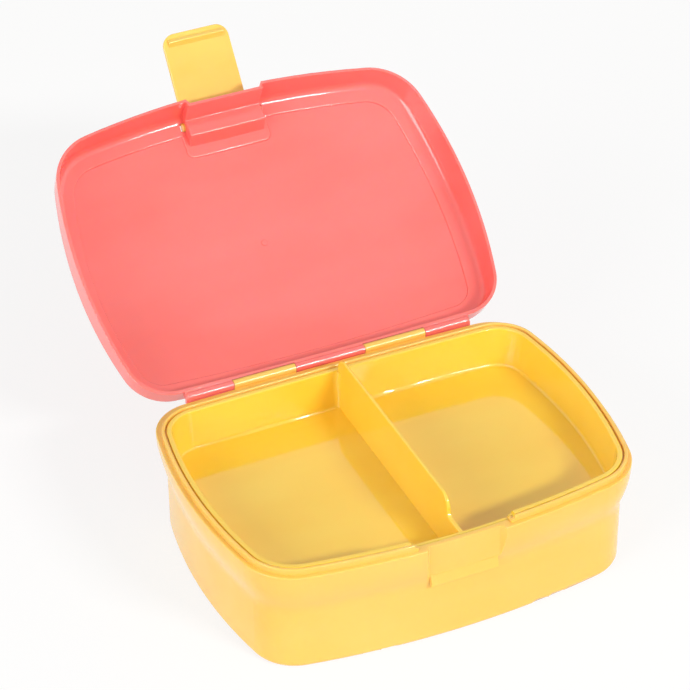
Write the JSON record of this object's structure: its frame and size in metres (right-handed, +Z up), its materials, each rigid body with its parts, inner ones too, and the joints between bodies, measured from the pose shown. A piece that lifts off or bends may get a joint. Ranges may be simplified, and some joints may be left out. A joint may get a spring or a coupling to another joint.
{
  "type": "lunch box",
  "caption": "Rectangular lunch box with bowed sides: flared base, lift-out divided tray, crowned hinged lid and a swinging latch clip.",
  "frame": {"origin": "under the middle of the rim, on the surface that the base stands on", "axes": "+Z up, -Y to the front with the latch, +X to the right seen from the front"},
  "size_m": [0.175, 0.2674, 0.1312],
  "materials": {
    "base_plastic": "glossy moulded polypropylene",
    "tray_plastic": "glossy moulded polypropylene",
    "lid_plastic": "glossy moulded polypropylene",
    "clip_plastic": "glossy moulded polypropylene",
    "pin_steel": "drawn wire"
  },
  "bodies": {
    "base": {"base_shell": "base_plastic", "hinge_pin": "pin_steel"},
    "lid": {"lid_shell": "lid_plastic"},
    "clip": {"latch_clip": "clip_plastic"},
    "tray": {"inner_tray": "tray_plastic"}
  },
  "joints": [
    {"name": "lid_hinge", "type": "hinge", "parent": "base", "child": "lid", "pos_m": [0, 0.0645, 0.0496], "axis": [1, 0, 0], "range_deg": [0, 147.65]},
    {"name": "latch_pivot", "type": "hinge", "parent": "lid", "child": "clip", "pos_m": [0, 0.17455, 0.10273], "axis": [1, 0, 0], "range_deg": [0, 69.7]},
    {"name": "tray_lift", "type": "slide", "parent": "base", "child": "tray", "axis": [0, 0, 1], "range_m": [0, 0.004]}
  ]
}
